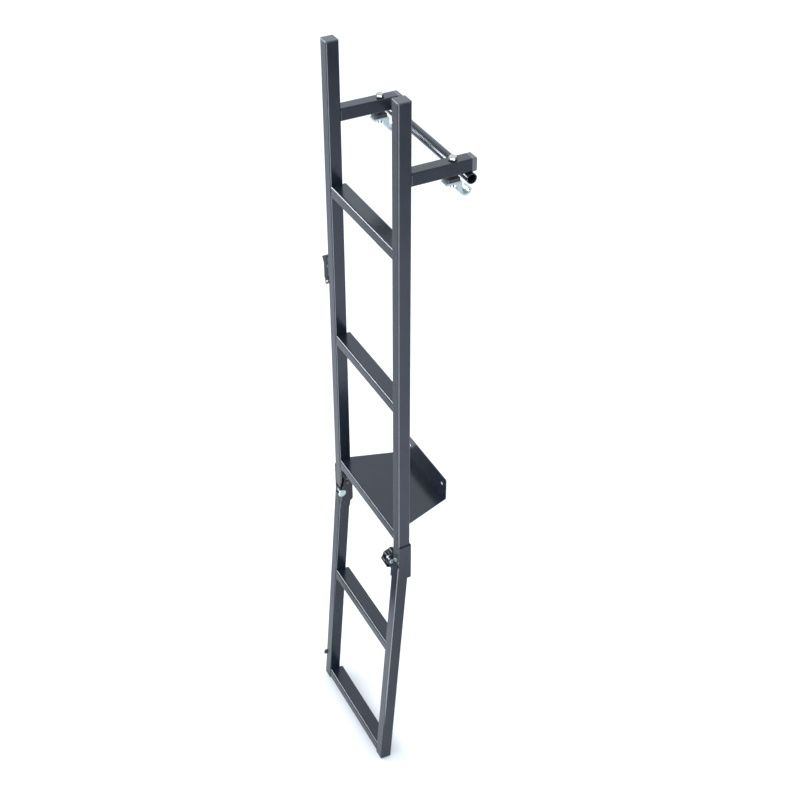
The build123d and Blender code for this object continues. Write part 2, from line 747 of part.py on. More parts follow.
def make_keeper():
    """A riveted tab on the left lower upright whose stud snaps into the catch when the section is folded."""
    with BuildPart() as keeper:
        with BuildSketch(lower_side(-KEEPER_FACE_X)):
            with Locations(((KEEPER_FRONT + KEEPER_BACK) / 2, -KEEPER_AT)):
                RectangleRounded(KEEPER_BACK - KEEPER_FRONT, KEEPER_HEIGHT, 3)
        extrude(amount=CATCH_SHEET)
        with BuildSketch(lower_side(-LOWER_OUTER_X - KEEPER_PAD)):
            with Locations(((KEEPER_PAD_FRONT + KEEPER_BACK - 1) / 2, -KEEPER_AT)):
                Rectangle(KEEPER_BACK - 1 - KEEPER_PAD_FRONT, KEEPER_HEIGHT - 2)
        extrude(amount=KEEPER_PAD)
        with BuildSketch(lower_side(-KEEPER_FACE_X)):
            with Locations((KEEPER_RIVET_DEPTH, -KEEPER_AT)):
                Circle(RIVET_R)
        extrude(amount=CATCH_SHEET + KEEPER_PAD, mode=Mode.SUBTRACT)
        tip = -CATCH_FOOT_X + STUD_GAP
        with BuildSketch(lower_side(tip)):
            with Locations((KEEPER_STUD_DEPTH, -KEEPER_AT)):
                Circle(KEEPER_STUD_R)
        extrude(amount=-KEEPER_FACE_X - tip)
        head = keeper.edges().filter_by(GeomType.CIRCLE).sort_by(Axis.X)[0]
        chamfer(head, 0.5)
    save(keeper.part, "catch_keeper")


# ---------------------------------------------------------------- build every piece

top_of_tread = Plane.XY.offset(UPPER_TREAD_Z)
nose = FRONT_Y + NOSE_SETBACK
make_tread("upper_tread", top_of_tread, INNER_X, nose)
make_tread("middle_tread", Plane.XY.offset(MIDDLE_TREAD_Z), INNER_X, nose)
make_tread("lower_tread", LOWER.offset(-LOWER_TREAD_AT), LOWER_INNER_X, LOWER_SET + NOSE_SETBACK)
make_tread("bottom_tread", LOWER.offset(-BOTTOM_TREAD_AT), LOWER_INNER_X, LOWER_SET + NOSE_SETBACK)
make_platform()
make_cross_tube()
make_clamp_washers()
for side in (-1, 1):
    make_upper_upright(side)
    make_arm(side)
    make_outer_bracket(side)
    make_hinge_plate(side)
    make_hinge_spacer(side)
    make_pivot_pin(side)
    make_clamp_bolt(side)
    make_gutter_hook(side)
    make_nut_block(side)
    make_lower_upright(side)
    make_hinge_ear(side)
    name = side_name(side)
    make_square_cap(f"{name}_top_cap", Plane((side * MID_X, MID_Y, TOP_Z - CAP), z_dir=(0, 0, 1)), CAP)
    make_square_cap(
        f"{name}_arm_cap",
        Plane((side * MID_X, ARM_END_Y - ARM_CAP, ARM_TOP_Z - TUBE / 2), x_dir=(1, 0, 0), z_dir=(0, 1, 0)),
        ARM_CAP,
    )
    foot = LOWER.from_local_coords((side * LOWER_MID_X, LOWER_SET + TUBE / 2, -LOWER_END + CAP))
    make_square_cap(f"{name}_foot_cap", Plane(foot, x_dir=(1, 0, 0), z_dir=-LOWER.z_dir), CAP)
    head = LOWER.from_local_coords((side * LOWER_MID_X, LOWER_SET + TUBE / 2, -LOWER_START))
    make_square_cap(f"{name}_fold_cap", Plane(head, x_dir=(1, 0, 0), z_dir=LOWER.z_dir), 1.5, 0.6)
    make_square_cap(
        f"{name}_end_cap",
        Plane((side * MID_X, MID_Y, UPRIGHT_END_Z), x_dir=(1, 0, 0), z_dir=(0, 0, -1)),
        1.0,
        0.4,
    )
make_lock_barrel()
make_lock_pin()
make_lock_knob()
make_coil("lock_spring", (CHAMBER_X + 0.7, LOCK_Y, LOCK_Z), (1, 0, 0), 10.1, 4.1, 1.0, 3)
make_catch_base()
make_catch_pin()
make_rivet("catch_rivet", Plane.YZ.offset(-OUTER_X - CATCH_SHEET), (MID_Y, CATCH_RIVET_Z), CATCH_SHEET)
make_catch_lever()
catch_spring_start = (-CATCH_PIVOT_X, BLOCK_FRONT_Y - 0.6, CATCH_PIVOT_Z)
make_coil("catch_spring", catch_spring_start, (0, -1, 0), 2.2, 2.6, 0.7, 2.5)
make_keeper()
make_rivet(
    "keeper_rivet",
    lower_side(-KEEPER_FACE_X),
    (KEEPER_RIVET_DEPTH, -KEEPER_AT),
    CATCH_SHEET + KEEPER_PAD,
)
make_ear_rivets()
make_hinge_screws()
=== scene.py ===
import json
import math
import random

import bpy
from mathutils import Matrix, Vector


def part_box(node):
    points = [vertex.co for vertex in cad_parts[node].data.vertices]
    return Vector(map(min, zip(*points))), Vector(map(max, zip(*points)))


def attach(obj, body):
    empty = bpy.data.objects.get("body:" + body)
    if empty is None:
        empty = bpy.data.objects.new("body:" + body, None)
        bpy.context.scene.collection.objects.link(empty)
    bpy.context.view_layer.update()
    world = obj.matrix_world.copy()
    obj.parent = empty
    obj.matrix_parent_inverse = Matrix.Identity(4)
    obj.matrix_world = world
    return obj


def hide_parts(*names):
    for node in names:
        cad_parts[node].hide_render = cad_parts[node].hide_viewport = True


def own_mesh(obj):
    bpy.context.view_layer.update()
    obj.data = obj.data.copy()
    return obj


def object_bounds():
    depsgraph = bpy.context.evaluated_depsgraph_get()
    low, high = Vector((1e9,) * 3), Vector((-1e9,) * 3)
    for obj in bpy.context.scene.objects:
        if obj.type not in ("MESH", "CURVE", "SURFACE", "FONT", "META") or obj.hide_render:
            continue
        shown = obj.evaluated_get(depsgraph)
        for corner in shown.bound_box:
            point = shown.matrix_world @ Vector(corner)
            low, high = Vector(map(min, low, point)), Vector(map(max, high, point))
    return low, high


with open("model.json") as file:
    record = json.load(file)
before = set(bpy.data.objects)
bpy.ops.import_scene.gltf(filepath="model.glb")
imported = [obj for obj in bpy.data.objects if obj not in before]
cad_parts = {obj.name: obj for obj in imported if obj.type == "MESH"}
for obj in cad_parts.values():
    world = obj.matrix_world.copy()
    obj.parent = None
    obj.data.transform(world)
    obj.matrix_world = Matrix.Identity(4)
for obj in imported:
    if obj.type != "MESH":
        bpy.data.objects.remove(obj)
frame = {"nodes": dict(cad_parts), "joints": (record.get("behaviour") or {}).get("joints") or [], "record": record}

cad_low, cad_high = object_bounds()

MM = 0.001
SIDES = {"left": -1, "right": 1}

# Places read from the CAD.
PIVOT = Vector(next(joint["pos_m"] for joint in frame["joints"] if joint["name"] == "fold"))
UPRIGHT_LOW, UPRIGHT_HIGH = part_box("right_upper_upright")
ARM_LOW, ARM_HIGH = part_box("right_arm")
BRACKET_LOW, BRACKET_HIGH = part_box("right_outer_bracket")
CROSS_LOW, CROSS_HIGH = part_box("cross_tube")
KNOB_LOW, KNOB_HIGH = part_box("lock_knob")

# The lower section leans out from the fold joint by this angle.
LEAN = math.radians(4.37)

# The platform's nose lip hangs down this far.
PLATFORM_LIP = 21.5 * MM

# How the CAD nodes' edges are softened. At the full weight, large faces keep their own flat shading.
MERGE_DISTANCE = 0.004 * MM
EDGE_SOFTENING = 0.35 * MM
EDGE_ANGLE = math.radians(50)
FULL_WEIGHT = 100


# ---------------------------------------------------------------- materials

# Nearly all of a noise texture's output lies in this band.
NOISE_BAND = (0.3, 0.7)
FULL_RANGE = (0.0, 1.0)

# A Mix node's sockets for colours, which share their names with those for other kinds of value.
MIX_FACTOR = 0
MIX_FIRST = 6
MIX_SECOND = 7
MIX_RESULT = 2

# Cosines of the turns, between a face and its rounded edge, at which an edge starts and ends its fade.
EDGE_TURNS = (0.97, 0.75)

COAT_DARK = (0.006, 0.0092, 0.0165)
COAT_LIGHT = (0.011, 0.0150, 0.0240)
COAT_SPECK = (0.050, 0.057, 0.070)
COAT_RUBBED = (0.09, 0.096, 0.11)
GREY_DARK = (0.082, 0.088, 0.098)
GREY_LIGHT = (0.105, 0.112, 0.124)
BLACK_DARK = (0.003, 0.0035, 0.004)
BLACK_LIGHT = (0.008, 0.009, 0.010)
CAP_DARK = (0.040, 0.043, 0.050)
CAP_LIGHT = (0.058, 0.062, 0.070)
# Painted shade for the seam where a top cap meets its tube.
SEAM_SHADE = (0.003, 0.003, 0.004)
ZINC = (0.40, 0.47, 0.46)
NICKEL = (0.40, 0.39, 0.36)
NICKEL_RIGHT = (0.40, 0.39, 0.37)
OXIDE_DARK = (0.010, 0.010, 0.012)
OXIDE_LIGHT = (0.026, 0.026, 0.028)
OXIDE_RUBBED = (0.15, 0.15, 0.15)

# How high the fine relief of each finish stands.
ORANGE_PEEL = 0.05 * MM
COAT_GRIT = 0.03 * MM
GREY_PEBBLES = 0.02 * MM
BLACK_PEBBLES = 0.03 * MM
ZINC_STREAKS = 0.03 * MM
ZINC_GRAIN = 0.02 * MM
OXIDE_GRAIN = 0.03 * MM

# Painted shade in the seam between a cap and its tube: how far up the cap it reaches, and how soon it fades there.
SEAM_SHADE_REACH = 1.7 * MM
SEAM_SHADE_FADE = 0.3 * MM


def scaled(colour, factor):
    """A colour made lighter or darker."""
    return tuple(channel * factor for channel in colour)


class Paint:
    """A material under construction: short ways to add nodes and join them."""

    def __init__(self, name):
        self.material = bpy.data.materials.new(name)
        self.material.use_nodes = True
        self.tree = self.material.node_tree
        self.shader = self.tree.nodes["Principled BSDF"]
        self.where = self.add("ShaderNodeTexCoord").outputs["Object"]

    def add(self, kind, **settings):
        node = self.tree.nodes.new(kind)
        for key, value in settings.items():
            setattr(node, key, value)
        return node

    def join(self, output, target):
        self.tree.links.new(output, target)

    def stretched(self, scale):
        mapping = self.add("ShaderNodeMapping")
        mapping.inputs["Scale"].default_value = scale
        self.join(self.where, mapping.inputs["Vector"])
        return mapping.outputs["Vector"]

    def noise(self, scale, detail, roughness=0.55, vector=None):
        node = self.add("ShaderNodeTexNoise")
        node.inputs["Scale"].default_value = scale
        node.inputs["Detail"].default_value = detail
        node.inputs["Roughness"].default_value = roughness
        self.join(vector or self.where, node.inputs["Vector"])
        return node.outputs["Fac"]

    def cells(self, scale):
        node = self.add("ShaderNodeTexVoronoi")
        node.inputs["Scale"].default_value = scale
        self.join(self.where, node.inputs["Vector"])
        return node.outputs["Distance"]

    def spread(self, value, band, to=FULL_RANGE):
        """Stretch the part of a value inside a band over another range."""
        node = self.add("ShaderNodeMapRange", clamp=True)
        node.inputs["From Min"].default_value, node.inputs["From Max"].default_value = band
        node.inputs["To Min"].default_value, node.inputs["To Max"].default_value = to
        self.join(value, node.inputs["Value"])
        return node.outputs["Result"]

    def blend(self, factor, first, second):
        """Mix two colours, each a socket or an (r, g, b), by a factor socket."""
        node = self.add("ShaderNodeMix", data_type="RGBA")
        self.join(factor, node.inputs[MIX_FACTOR])
        for source, target in ((first, node.inputs[MIX_FIRST]), (second, node.inputs[MIX_SECOND])):
            if isinstance(source, tuple):
                target.default_value = (*source, 1.0)
            else:
                self.join(source, target)
        return node.outputs[MIX_RESULT]

    def bump(self, *layers):
        """Stack (height, distance in metres) layers into the shader's normal."""
        normal = None
        for height, distance in layers:
            node = self.add("ShaderNodeBump")
            node.inputs["Strength"].default_value = 1.0
            node.inputs["Distance"].default_value = distance
            self.join(height, node.inputs["Height"])
            if normal:
                self.join(normal, node.inputs["Normal"])
            normal = node.outputs["Normal"]
        self.join(normal, self.shader.inputs["Normal"])

    def edges(self, radius):
        """1 on edges sharper than the radius, 0 on flats."""
        bevel = self.add("ShaderNodeBevel", samples=4)
        bevel.inputs["Radius"].default_value = radius
        geometry = self.add("ShaderNodeNewGeometry")
        dot = self.add("ShaderNodeVectorMath", operation="DOT_PRODUCT")
        self.join(bevel.outputs["Normal"], dot.inputs[0])
        self.join(geometry.outputs["Normal"], dot.inputs[1])
        return self.spread(dot.outputs["Value"], band=EDGE_TURNS)

    def finish(self, colour, roughness, metallic=0.0, **sockets):
        """Join up the shader, set any other sockets named, and give the material."""
        self.join(colour, self.shader.inputs["Base Color"])
        self.join(roughness, self.shader.inputs["Roughness"])
        self.shader.inputs["Metallic"].default_value = metallic
        for key, value in sockets.items():
            self.shader.inputs[key].default_value = value
        return self.material


def powder_coat(name="powder_coat", shade=1.0, grit=1.0, gloss=(0.18, 0.24)):
    """Satin slate powder coat.

    It has orange peel, fine grit, slow drifts of tone and a faint rub along its edges.
    """
    paint = Paint(name)
    drift = paint.spread(paint.noise(scale=14, detail=3), NOISE_BAND)
    speck = paint.spread(paint.noise(scale=2600, detail=2), band=(0.55, 0.75), to=(0.0, 0.35))
    tone = paint.blend(drift, scaled(COAT_DARK, shade), scaled(COAT_LIGHT, shade))
    tone = paint.blend(speck, tone, scaled(COAT_SPECK, shade))
    rub = paint.add("ShaderNodeMath", operation="MULTIPLY")
    paint.join(paint.edges(radius=0.7 * MM), rub.inputs[0])
    patches = paint.spread(paint.noise(scale=60, detail=5), band=(0.45, 0.7), to=(0.0, 0.5))
    paint.join(patches, rub.inputs[1])
    tone = paint.blend(rub.outputs[0], tone, COAT_RUBBED)
    paint.bump(
        (paint.noise(scale=700, detail=2), ORANGE_PEEL * grit),
        (paint.noise(scale=2400, detail=3), COAT_GRIT * grit),
    )
    rough = paint.spread(paint.noise(scale=90, detail=4), NOISE_BAND, to=gloss)
    return paint.finish(tone, rough, IOR=1.40)


def moulded_plastic(name, dark, light, gloss=(0.29, 0.40), grain=GREY_PEBBLES, ior=1.5, shaded_seam=None):
    """Injection-moulded plastic, slightly cloudy, with a fine pebbled grain.

    If a seam's height is given, shade is painted on the plastic just above it, standing in for the shade of the
    gap to the tube.
    """
    paint = Paint(name)
    cloud = paint.spread(paint.noise(scale=120, detail=4), NOISE_BAND)
    tone = paint.blend(cloud, dark, light)
    streaks = paint.noise(scale=30, detail=6, roughness=0.7, vector=paint.stretched((1, 9, 9)))
    scuff = paint.spread(streaks, band=(0.62, 0.8), to=(0.0, 0.3))
    scuffed = scaled(light, 2.2)
    tone = paint.blend(scuff, tone, scuffed)
    # Painted shade: the plastic is darkened just above its seam with the tube.
    if shaded_seam is not None:
        place = paint.add("ShaderNodeSeparateXYZ")
        paint.join(paint.where, place.inputs[0])
        fade = (shaded_seam + SEAM_SHADE_REACH - SEAM_SHADE_FADE, shaded_seam + SEAM_SHADE_REACH)
        depth = paint.spread(place.outputs["Z"], fade, to=(1.0, 0.0))
        tone = paint.blend(depth, tone, SEAM_SHADE)
    paint.bump(
        (paint.cells(scale=1500), grain),
        (paint.noise(scale=500, detail=3), grain * 0.6),
    )
    rough = paint.spread(paint.noise(scale=200, detail=3), NOISE_BAND, to=gloss)
    return paint.finish(tone, rough, IOR=ior)


def bright_plate(name, tint):
    """Bright plating, with rolling streaks, soft spangle and a few dull spots."""
    paint = Paint(name)
    streak = paint.noise(scale=90, detail=4, roughness=0.6, vector=paint.stretched((1, 14, 14)))
    bloom = paint.spread(paint.noise(scale=220, detail=5), band=(0.35, 0.7))
    clouded = scaled(tint, 0.82)
    tone = paint.blend(bloom, tint, clouded)
    dull = paint.spread(paint.cells(scale=260), band=(0.0, 0.25), to=(0.35, 0.0))
    dulled = scaled(tint, 0.6)
    tone = paint.blend(dull, tone, dulled)
    paint.bump(
        (streak, ZINC_STREAKS),
        (paint.noise(scale=1500, detail=2), ZINC_GRAIN),
    )
    rough = paint.spread(streak, NOISE_BAND, to=(0.24, 0.38))
    return paint.finish(tone, rough, metallic=1.0)


def black_oxide():
    """Oiled black steel: dark, mottled, with rubbed edges."""
    paint = Paint("dark_steel")
    mottle = paint.spread(paint.noise(scale=300, detail=4), band=(0.35, 0.65))
    tone = paint.blend(mottle, OXIDE_DARK, OXIDE_LIGHT)
    tone = paint.blend(paint.edges(radius=0.5 * MM), tone, OXIDE_RUBBED)
    paint.bump((paint.noise(scale=1200, detail=3), OXIDE_GRAIN))
    rough = paint.spread(paint.noise(scale=400, detail=3), NOISE_BAND, to=(0.3, 0.45))
    return paint.finish(tone, rough, metallic=0.25)


MATERIALS = {
    "powder_coat": powder_coat(),
    "grey_plastic": moulded_plastic("grey_plastic", GREY_DARK, GREY_LIGHT),
    "black_plastic": moulded_plastic(
        "black_plastic", BLACK_DARK, BLACK_LIGHT, gloss=(0.25, 0.36), grain=BLACK_PEBBLES, ior=1.28
    ),
    "zinc_steel": bright_plate("zinc_steel", ZINC),
    "dark_steel": black_oxide(),
}
# The welds wear the same coat, painted darker as shade on the beads, and glossier.
SHADED_WELD_COAT = powder_coat("shaded_weld_coat", shade=0.7, gloss=(0.08, 0.16))
DARK_CAP = moulded_plastic("dark_cap", CAP_DARK, CAP_LIGHT)
# The top caps carry the painted seam shade.
SEAM_SHADED_CAP = moulded_plastic("top_cap", CAP_DARK, CAP_LIGHT, shaded_seam=UPRIGHT_HIGH.z)

# The nodes whose finish differs from their slot's.
SPECIAL = {
    "cross_tube": powder_coat("tube_coat", grit=0.1),
    "lock_barrel": MATERIALS["dark_steel"],
    "left_top_cap": SEAM_SHADED_CAP,
    "right_top_cap": SEAM_SHADED_CAP,
    "left_foot_cap": DARK_CAP,
    "right_foot_cap": DARK_CAP,
    "left_clamp_bolt": bright_plate("nickel_bolt", NICKEL),
    "right_clamp_bolt": bright_plate("nickel_bolt_right", NICKEL_RIGHT),
}


def dress_cad_nodes():
    """Give every CAD node its finish, and soften its edges with modifiers that leave its mesh alone."""
    for sub in frame["record"]["subparts"]:
        node = frame["nodes"][sub["node"]]
        node.data.materials.clear()
        node.data.materials.append(SPECIAL.get(sub["node"], MATERIALS[sub["material_slot"]]))
        node.data.shade_smooth()
        weld = node.modifiers.new("weld", "WELD")
        weld.merge_threshold = MERGE_DISTANCE
        bevel = node.modifiers.new("bevel", "BEVEL")
        bevel.width = EDGE_SOFTENING
        bevel.segments = 2
        bevel.limit_method = "ANGLE"
        bevel.angle_limit = EDGE_ANGLE
        bevel.use_clamp_overlap = True
        flats = node.modifiers.new("flats", "WEIGHTED_NORMAL")
        flats.mode = "FACE_AREA"
        flats.weight = FULL_WEIGHT


# ---------------------------------------------------------------- forms of the pieces added to the frame


def new_piece(name, form, material, body):
    """A piece of the visual model from its (vertices, faces)."""
    vertices, faces = form
    mesh = bpy.data.meshes.new(name)
    mesh.from_pydata([tuple(v) for v in vertices], [], faces)
    mesh.update()
    mesh.shade_smooth()
    mesh.materials.append(material)
    piece = bpy.data.objects.new(name, mesh)
    bpy.context.scene.collection.objects.link(piece)
    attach(piece, body)
    return piece


def resample(points, step):
    """Points evenly spaced along a polyline."""
    spaced = []
    for start, end in zip(points, points[1:]):
        count = max(1, round((end - start).length / step))
        spaced += [start.lerp(end, i / count) for i in range(count)]
    return spaced + [points[-1]]


def rod(points, radii, sides):
    """Vertices and faces of a round rod along points, one radius for each, with closed flat ends."""
    vertices, faces = [], []
    across = None
    last = len(points) - 1
    for i, (centre, radius) in enumerate(zip(points, radii)):
        along = (points[min(i + 1, last)] - points[max(i - 1, 0)]).normalized()
        if across is None:
            across = along.orthogonal().normalized()
        across = (across - along * across.dot(along)).normalized()
        up = along.cross(across)
        for k in range(sides):
            turn = 2 * math.pi * k / sides
            vertices.append(centre + (across * math.cos(turn) + up * math.sin(turn)) * radius)
    for i in range(last):
        for k in range(sides):
            a, b = i * sides + k, i * sides + (k + 1) % sides
            faces.append((a, b, b + sides, a + sides))
    faces.append(tuple(reversed(range(sides))))
    faces.append(tuple(range(last * sides, (last + 1) * sides)))
    return vertices, faces


def helix(start, end, across, other, turns, steps):
    """Points of a helix about the line from start to end.

    It begins on the side that across points to, at that vector's distance, and turns towards other.
    """
    path = []
    for i in range(steps + 1):
        turn = 2 * math.pi * turns * i / steps
        path.append(start.lerp(end, i / steps) + across * math.cos(turn) + other * math.sin(turn))
    return path


def turned(profile, centre, axis, segments):
    """Vertices and faces of a closed form turned about an axis: profile is (radius, height), pole to pole."""
    along = axis.normalized()
    across = along.orthogonal().normalized()
    other = along.cross(across)
    vertices = [centre + along * profile[0][1]]
    for radius, height in profile[1:-1]:
        for k in range(segments):
            turn = 2 * math.pi * k / segments
            outward = across * math.cos(turn) + other * math.sin(turn)
            vertices.append(centre + along * height + outward * radius)
    vertices.append(centre + along * profile[-1][1])
    faces = [(0, 1 + (k + 1) % segments, 1 + k) for k in range(segments)]
    rings = len(profile) - 2
    for ring in range(rings - 1):
        for k in range(segments):
            a = 1 + ring * segments + k
            b = 1 + ring * segments + (k + 1) % segments
            faces.append((a, b, b + segments, a + segments))
    base = 1 + (rings - 1) * segments
    faces += [(len(vertices) - 1, base + k, base + (k + 1) % segments) for k in range(segments)]
    return vertices, faces


def joined(parts):
    """Merge several (vertices, faces) into one."""
    vertices, faces = [], []
    for part_vertices, part_faces in parts:
        start = len(vertices)
        vertices += part_vertices
        faces += [tuple(start + i for i in face) for face in part_faces]
    return vertices, faces


# ---------------------------------------------------------------- weld beads

WELD_R = 1.25 * MM
TACK_R = 1.7 * MM
BEAD_SIDES = 8
BEAD_STEP = 0.45 * MM
RIPPLE_LENGTH = 1.9 * MM
RIPPLE_DEPTH = 0.2
RIPPLE_UNEVEN = 0.05
UPPER_SEED = 4
LOWER_SEED = 9

# A bead starts and ends at this share of its radius, and grows by this share at each step.
TAPER_START = 0.35
TAPER_GROWTH = 0.3

# How far a bead's centre line stands off the face that it lies on.
TUBE_OFF = 0.3 * MM
BRACKET_OFF = 0.2 * MM

# At a tread's ends: down the nose lip, and back along under the pan. Depths are from the upright's front
# on the upper frame, BACK is from its back, and on the lower section depths are from the fold's axis.
NOSE_TOP = 5 * MM
UNDER_DROP = 3.4 * MM
UPPER_NOSE_DEPTH = 0.9 * MM
UPPER_NOSE_END = 1 * MM
UPPER_UNDER_FRONT = 5 * MM
UPPER_UNDER_BACK = 2 * MM
LOWER_NOSE_DEPTH = 1.5 * MM
LOWER_NOSE_END = 20 * MM
LOWER_UNDER_DEPTHS = (6 * MM, 24 * MM)

# Round the arms' roots, on the cross tube, and on the hinge brackets.
RING_INSET = 0.08
CROSS_SPREAD = 4.4 * MM
CROSS_DROP = 0.9 * MM
CROSS_INSET = 2 * MM
TACK_DROPS = (1.5 * MM, 15.0 * MM, 35.0 * MM)
TACK_LENGTH = 6 * MM
TACK_DEPTH = 0.4 * MM
BRACKET_TOP_FRONT = 6 * MM
BRACKET_TOP_BACK = 3 * MM


def bead(points, dice, radius=WELD_R):
    """One weld bead: a rod with overlapping ripples and tapered ends."""
    spaced = resample(points, BEAD_STEP)
    radii = []
    for i in range(len(spaced)):
        ripple = abs(math.sin(math.pi * i * BEAD_STEP / RIPPLE_LENGTH))
        from_end = min(i, len(spaced) - 1 - i)
        taper = min(1.0, TAPER_START + from_end * TAPER_GROWTH)
        uneven = dice.uniform(-RIPPLE_UNEVEN, RIPPLE_UNEVEN)
        radii.append(radius * taper * (1 - RIPPLE_DEPTH + RIPPLE_DEPTH * ripple + uneven))
    return rod(spaced, radii, BEAD_SIDES)


def tread_beads(x, dice):
    """Beads where the upper frame's treads and platform meet one upright."""
    nose = UPRIGHT_LOW.y + UPPER_NOSE_DEPTH
    span = (UPRIGHT_LOW.y + UPPER_UNDER_FRONT, UPRIGHT_HIGH.y - UPPER_UNDER_BACK)
    beads = []
    for tread in ("upper_tread", "middle_tread", "platform_step"):
        low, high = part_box(tread)
        top = low.z + PLATFORM_LIP if tread == "platform_step" else high.z
        down = [Vector((x, nose, z)) for z in (top - NOSE_TOP, low.z + UPPER_NOSE_END)]
        beads.append(bead(down, dice))
        under = [Vector((x, y, top - UNDER_DROP)) for y in span]
        beads.append(bead(under, dice))
    return beads


def arm_beads(side, dice):
    """Beads round one arm's root, and where the cross tube lies under the arm."""
    corners = (
        (ARM_LOW.x, ARM_LOW.z),
        (ARM_HIGH.x, ARM_LOW.z),
        (ARM_HIGH.x, ARM_HIGH.z),
        (ARM_LOW.x, ARM_HIGH.z),
    )
    ring = [Vector((side * x, UPRIGHT_HIGH.y + TUBE_OFF, z)) for x, z in corners]
    beads = []
    for start, end in zip(ring, ring[1:] + ring[:1]):
        inset = (end - start) * RING_INSET
        beads.append(bead([start + inset, end - inset], dice))
    middle = (CROSS_LOW.y + CROSS_HIGH.y) / 2
    z = CROSS_HIGH.z - CROSS_DROP
    ends = (side * (ARM_LOW.x + CROSS_INSET), side * (ARM_HIGH.x - CROSS_INSET))
    for y in (middle - CROSS_SPREAD, middle + CROSS_SPREAD):
        beads.append(bead([Vector((x, y, z)) for x in ends], dice))
    return beads


def bracket_beads(side, dice):
    """Tacks down one hinge bracket's front edge, and a bead along its top edge."""
    x = side * (UPRIGHT_HIGH.x + BRACKET_OFF)
    beads = []
    for drop in TACK_DROPS:
        top = BRACKET_HIGH.z - drop
        tack = [Vector((x, BRACKET_LOW.y + TACK_DEPTH, z)) for z in (top, top - TACK_LENGTH)]
        beads.append(bead(tack, dice, TACK_R))
    z = BRACKET_HIGH.z + BRACKET_OFF
    span = (UPRIGHT_LOW.y + BRACKET_TOP_FRONT, UPRIGHT_HIGH.y - BRACKET_TOP_BACK)
    beads.append(bead([Vector((x, y, z)) for y in span], dice))
    return beads


def upper_frame_welds():
    """Every bead on the upper frame, as one piece."""
    dice = random.Random(UPPER_SEED)
    beads = []
    for side in SIDES.values():
        beads += tread_beads(side * (UPRIGHT_LOW.x - TUBE_OFF), dice)
        beads += arm_beads(side, dice)
        beads += bracket_beads(side, dice)
    new_piece("upper_frame_welds", joined(beads), SHADED_WELD_COAT, "upper_frame")


def lower(x, depth, up):
    """A point of the lower section's own leaning frame, in the row frame."""
    y = depth * math.cos(LEAN) + up * math.sin(LEAN)
    z = up * math.cos(LEAN) - depth * math.sin(LEAN)
    return PIVOT + Vector((x, y, z))


def lower_section_welds():
    """Every bead on the lower section, as one piece."""
    dice = random.Random(LOWER_SEED)
    beads = []
    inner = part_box("right_lower_upright")[0].x
    for side in SIDES.values():
        x = side * (inner - TUBE_OFF)
        for tread in ("lower_tread", "bottom_tread"):
            top = (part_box(tread)[1].z - PIVOT.z) / math.cos(LEAN)
            down = [lower(x, LOWER_NOSE_DEPTH, top - drop) for drop in (NOSE_TOP, LOWER_NOSE_END)]
            beads.append(bead(down, dice))
            under = [lower(x, depth, top - UNDER_DROP) for depth in LOWER_UNDER_DEPTHS]
            beads.append(bead(under, dice))
    new_piece("lower_section_welds", joined(beads), SHADED_WELD_COAT, "lower_section")


# ---------------------------------------------------------------- threads, knob cap and spring

# The thread is a ridge wound round each clamp bolt's shank.
THREAD_PITCH = 1.25 * MM
THREAD_R = 3.85 * MM
THREAD_RIDGE_R = 0.34 * MM
THREAD_SIDES = 5
THREAD_STEPS_A_TURN = 20
THREAD_FROM_END = 0.6 * MM
THREAD_BELOW_ARM = 0.5 * MM

# The knob cap's half outline, (radius, height above the knob's face), from its middle round to its back.
CAP_OUTLINE = (
    (0, 1.1 * MM),
    (4 * MM, 1.0 * MM),
    (7 * MM, 0.6 * MM),
    (8.4 * MM, 0.1 * MM),
    (8.6 * MM, -0.6 * MM),
    (0, -0.6 * MM),
)
CAP_SEGMENTS = 48

# The lock's spring.
SPRING_WIRE_R = 0.5 * MM
SPRING_SIDES = 10
SPRING_TURNS = 3
SPRING_STEPS_A_TURN = 36


def bolt_thread(name):
    """The screw thread on a clamp bolt's shank, below the arm."""
    low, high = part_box(f"{name}_clamp_bolt")
    start = (low + high) / 2
    end = start.copy()
    start.z = low.z + THREAD_FROM_END
    end.z = ARM_LOW.z - THREAD_BELOW_ARM
    turns = (end.z - start.z) / THREAD_PITCH
    steps = int(turns * THREAD_STEPS_A_TURN)
    path = helix(start, end, Vector((THREAD_R, 0, 0)), Vector((0, THREAD_R, 0)), turns, steps)
    ridge = rod(path, [THREAD_RIDGE_R] * len(path), THREAD_SIDES)
    new_piece(f"{name}_bolt_thread", ridge, MATERIALS["dark_steel"], f"{name}_bolt")


def knob_cap():
    """The domed cap pressed into the middle of the lock knob's face."""
    centre = (KNOB_LOW + KNOB_HIGH) / 2
    centre.x = KNOB_LOW.x
    cap = turned(CAP_OUTLINE, centre, Vector((-1, 0, 0)), CAP_SEGMENTS)
    new_piece("lock_knob_cap", cap, MATERIALS["black_plastic"], "lock")


def lock_spring_coil():
    """The lock's spring, wound where the CAD's spring lies. The real one is pressed against the barrel's end as
    the knob is pulled.
    """
    low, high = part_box("lock_spring")
    start = (low + high) / 2
    end = start.copy()
    start.x = low.x + SPRING_WIRE_R
    end.x = high.x - SPRING_WIRE_R
    radius = (high.z - low.z) / 2 - SPRING_WIRE_R
    steps = SPRING_TURNS * SPRING_STEPS_A_TURN
    path = helix(start, end, Vector((0, radius, 0)), Vector((0, 0, radius)), SPRING_TURNS, steps)
    wire = rod(path, [SPRING_WIRE_R] * len(path), SPRING_SIDES)
    spring = new_piece("lock_spring_coil", wire, MATERIALS["zinc_steel"], "upper_frame")
    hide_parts("lock_spring")
    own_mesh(spring)


# ---------------------------------------------------------------- stage, lights and camera

COOL = (0.86, 0.92, 1.0)
BLUE = (0.78, 0.82, 1.0)
WORLD_STRENGTH = 1.3

